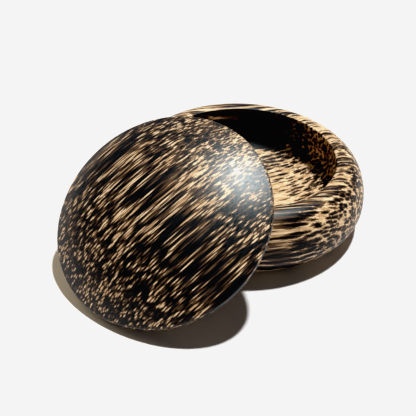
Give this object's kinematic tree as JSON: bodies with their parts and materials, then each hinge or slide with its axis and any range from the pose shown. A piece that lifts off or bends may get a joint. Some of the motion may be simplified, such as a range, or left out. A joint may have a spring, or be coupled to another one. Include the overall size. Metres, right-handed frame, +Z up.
{
  "type": "go stone bowl",
  "caption": "Squat turned palm wood bowl with a domed lid leaning on its shoulder; holds the stones of a board game.",
  "frame": {"origin": "centre of the bowl's flat foot, on the ground", "axes": "+Z up along the bowl's turning axis; the lid leans against the side that faces -Y"},
  "size_m": [0.15, 0.2111, 0.0792],
  "materials": {
    "bowl_wood": "satin, dark palm wood with tan streaks",
    "lid_wood": "satin, dark palm wood with tan streaks"
  },
  "bodies": {
    "bowl": {"bowl": "bowl_wood"},
    "lid": {"lid": "lid_wood"}
  },
  "joints": [
    {"name": "lid_lift", "type": "slide", "parent": "bowl", "child": "lid", "axis": [0, 0, 1], "range_m": [0, 0.1]}
  ]
}
